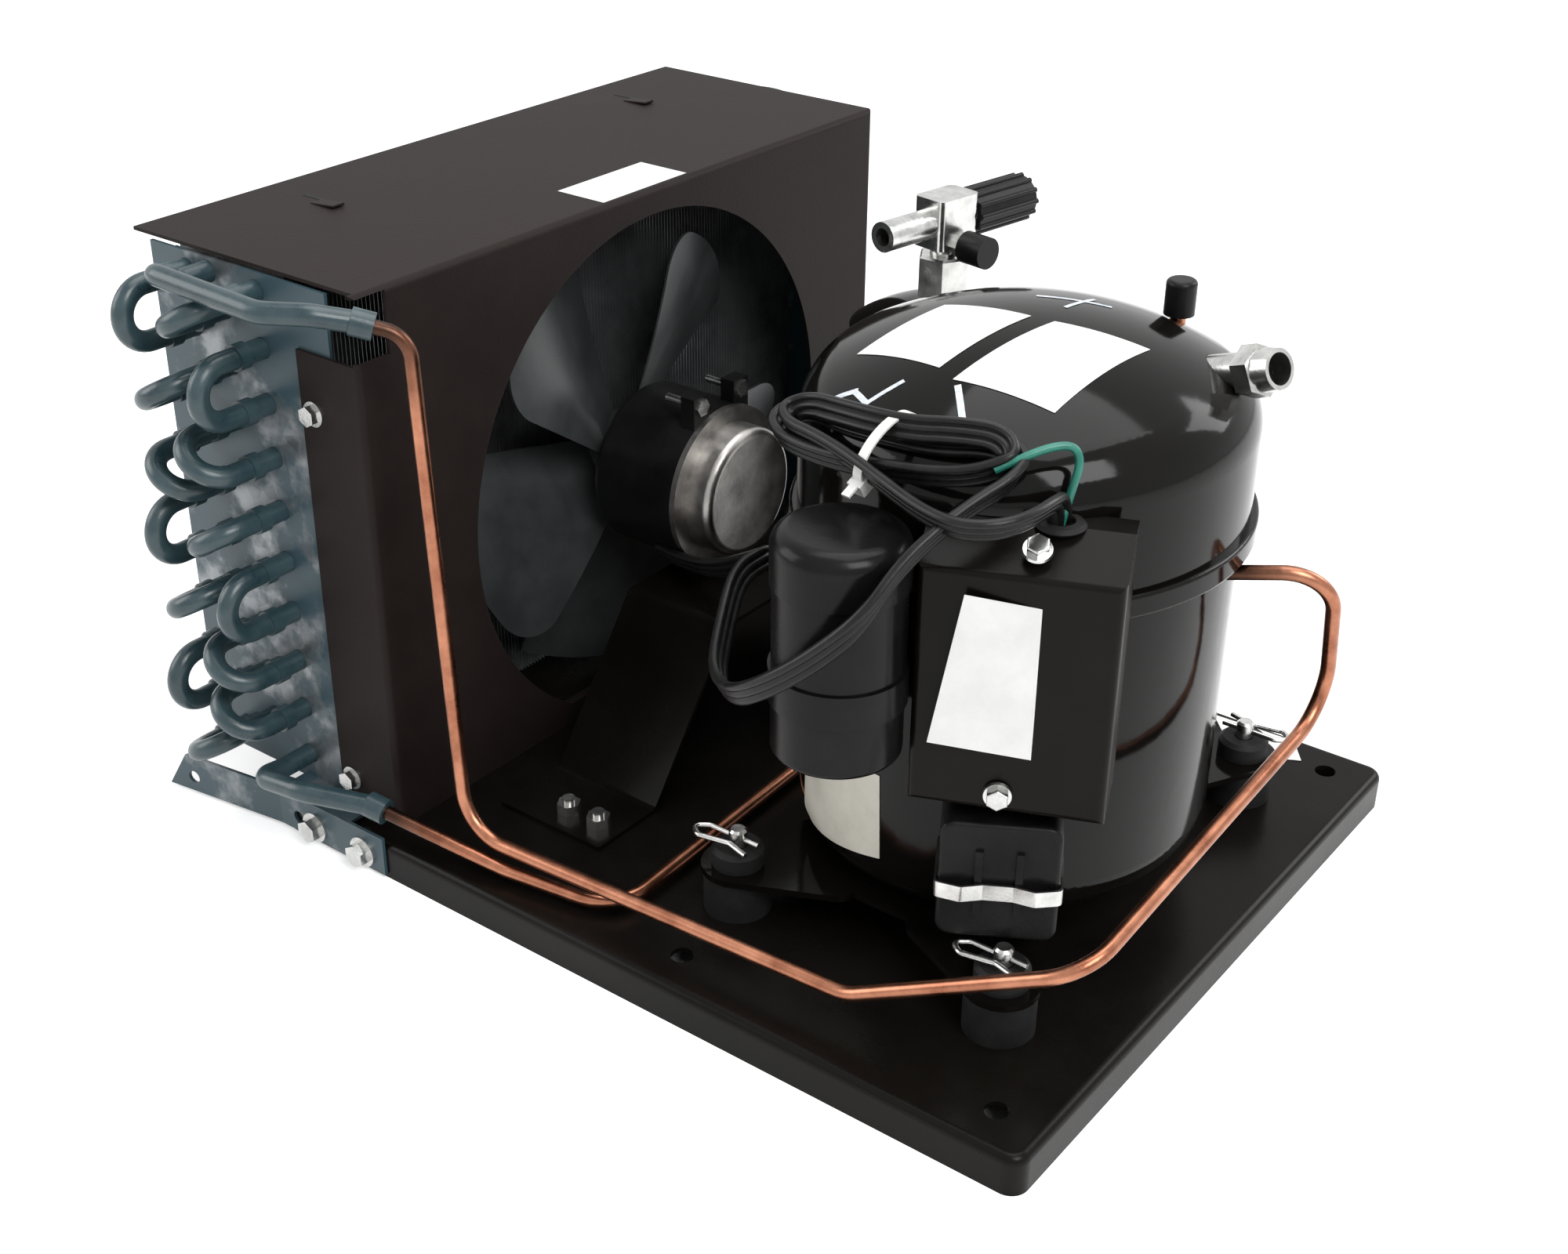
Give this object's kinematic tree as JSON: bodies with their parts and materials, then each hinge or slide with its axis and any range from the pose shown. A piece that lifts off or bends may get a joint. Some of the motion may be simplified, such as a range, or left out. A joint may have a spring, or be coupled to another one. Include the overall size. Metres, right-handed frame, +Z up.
{
  "type": "refrigeration condensing unit",
  "caption": "Base-pan refrigeration condensing unit: hermetic compressor, fan-cooled finned coil under a shroud, receiver with service valve, copper tubes and wiring box.",
  "frame": {"origin": "on the ground, under the middle of the unit's bounding box", "axes": "+Z up, +X from the coil towards the compressor, -Y the wiring side, where the return bends and the electrical box are"},
  "size_m": [0.4918, 0.4256, 0.2783],
  "materials": {
    "pan_paint": "semi-gloss black paint",
    "shell_paint": "gloss black paint",
    "shroud_paint": "matt dark brown coating",
    "teal_paint": "thin blue-grey overspray on galvanised steel",
    "fin_aluminium": "plain",
    "copper": "bare copper, darkened at the joints",
    "zinc": "zinc plated",
    "steel": "bare",
    "fan_grey": "grey, satin",
    "motor_black": "black, satin",
    "motor_aluminium": "cast, bare",
    "iron": "as cast",
    "rubber": "moulded",
    "black_plastic": "moulded",
    "gloss_black_plastic": "moulded, gloss"
  },
  "bodies": {
    "chassis": {"base_pan": "pan_paint", "capacitor_band": "steel", "capacitor_cap": "gloss_black_plastic", "coil_fins": "fin_aluminium", "coil_hairpins": "teal_paint", "coil_inlet_tube": "teal_paint", "coil_outlet_tube": "teal_paint", "coil_return_bends": "teal_paint", "compressor_feet": "shell_paint", "compressor_lower_shell": "shell_paint", "compressor_upper_shell": "shell_paint", "discharge_tube": "copper", "electrical_box": "pan_paint", "end_plate_far": "teal_paint", "end_plate_near": "teal_paint", "fan_shroud": "shroud_paint", "gauge_collar": "steel", "liquid_tube": "copper", "motor_cap": "motor_aluminium", "motor_housing": "motor_black", "motor_stand": "pan_paint", "motor_stator": "iron", "motor_studs": "zinc", "mount_clips": "zinc", "mount_studs": "zinc", "process_tube": "copper", "pump_body": "iron", "pump_springs": "steel", "receiver_tank": "shell_paint", "rim_bolts": "zinc", "rubber_mounts": "rubber", "shroud_screws": "zinc", "stand_nuts": "zinc", "start_capacitor": "black_plastic", "suction_fitting": "steel", "terminal_bail": "zinc", "terminal_cover": "black_plastic", "valve_body": "steel", "valve_nut": "steel"},
    "fan": {"fan_blades": "fan_grey", "fan_hub": "steel", "fan_shaft": "steel", "motor_rotor": "steel"},
    "pump_crank": {"pump_rotor": "steel"},
    "process_tube_cap": {"process_cap": "black_plastic"},
    "valve_stem_cap": {"stem_cap": "black_plastic"},
    "gauge_port_cap": {"gauge_cap": "black_plastic"},
    "stem": {"valve_stem": "steel"}
  },
  "joints": [
    {"name": "fan_spin", "type": "hinge", "parent": "chassis", "child": "fan", "pos_m": [-0.1305, 0.013, 0.135], "axis": [1, 0, 0], "continuous": true},
    {"name": "pump_crank_spin", "type": "hinge", "parent": "chassis", "child": "pump_crank", "pos_m": [0.119, -0.018, 0.12], "axis": [0, 0, 1], "continuous": true},
    {"name": "process_cap_off", "type": "slide", "parent": "chassis", "child": "process_tube_cap", "axis": [0, 0, 1], "range_m": [0, 0.05]},
    {"name": "stem_cap_off", "type": "slide", "parent": "chassis", "child": "valve_stem_cap", "axis": [0.1736, 0.9848, 0], "range_m": [0, 0.07]},
    {"name": "gauge_cap_off", "type": "slide", "parent": "chassis", "child": "gauge_port_cap", "axis": [0.9848, -0.1736, 0], "range_m": [0, 0.04]},
    {"name": "valve_stem_turn", "type": "hinge", "parent": "chassis", "child": "stem", "pos_m": [-0.005, 0.1085, 0.256], "axis": [0.1736, 0.9848, 0], "range_deg": [0, 1080]}
  ]
}
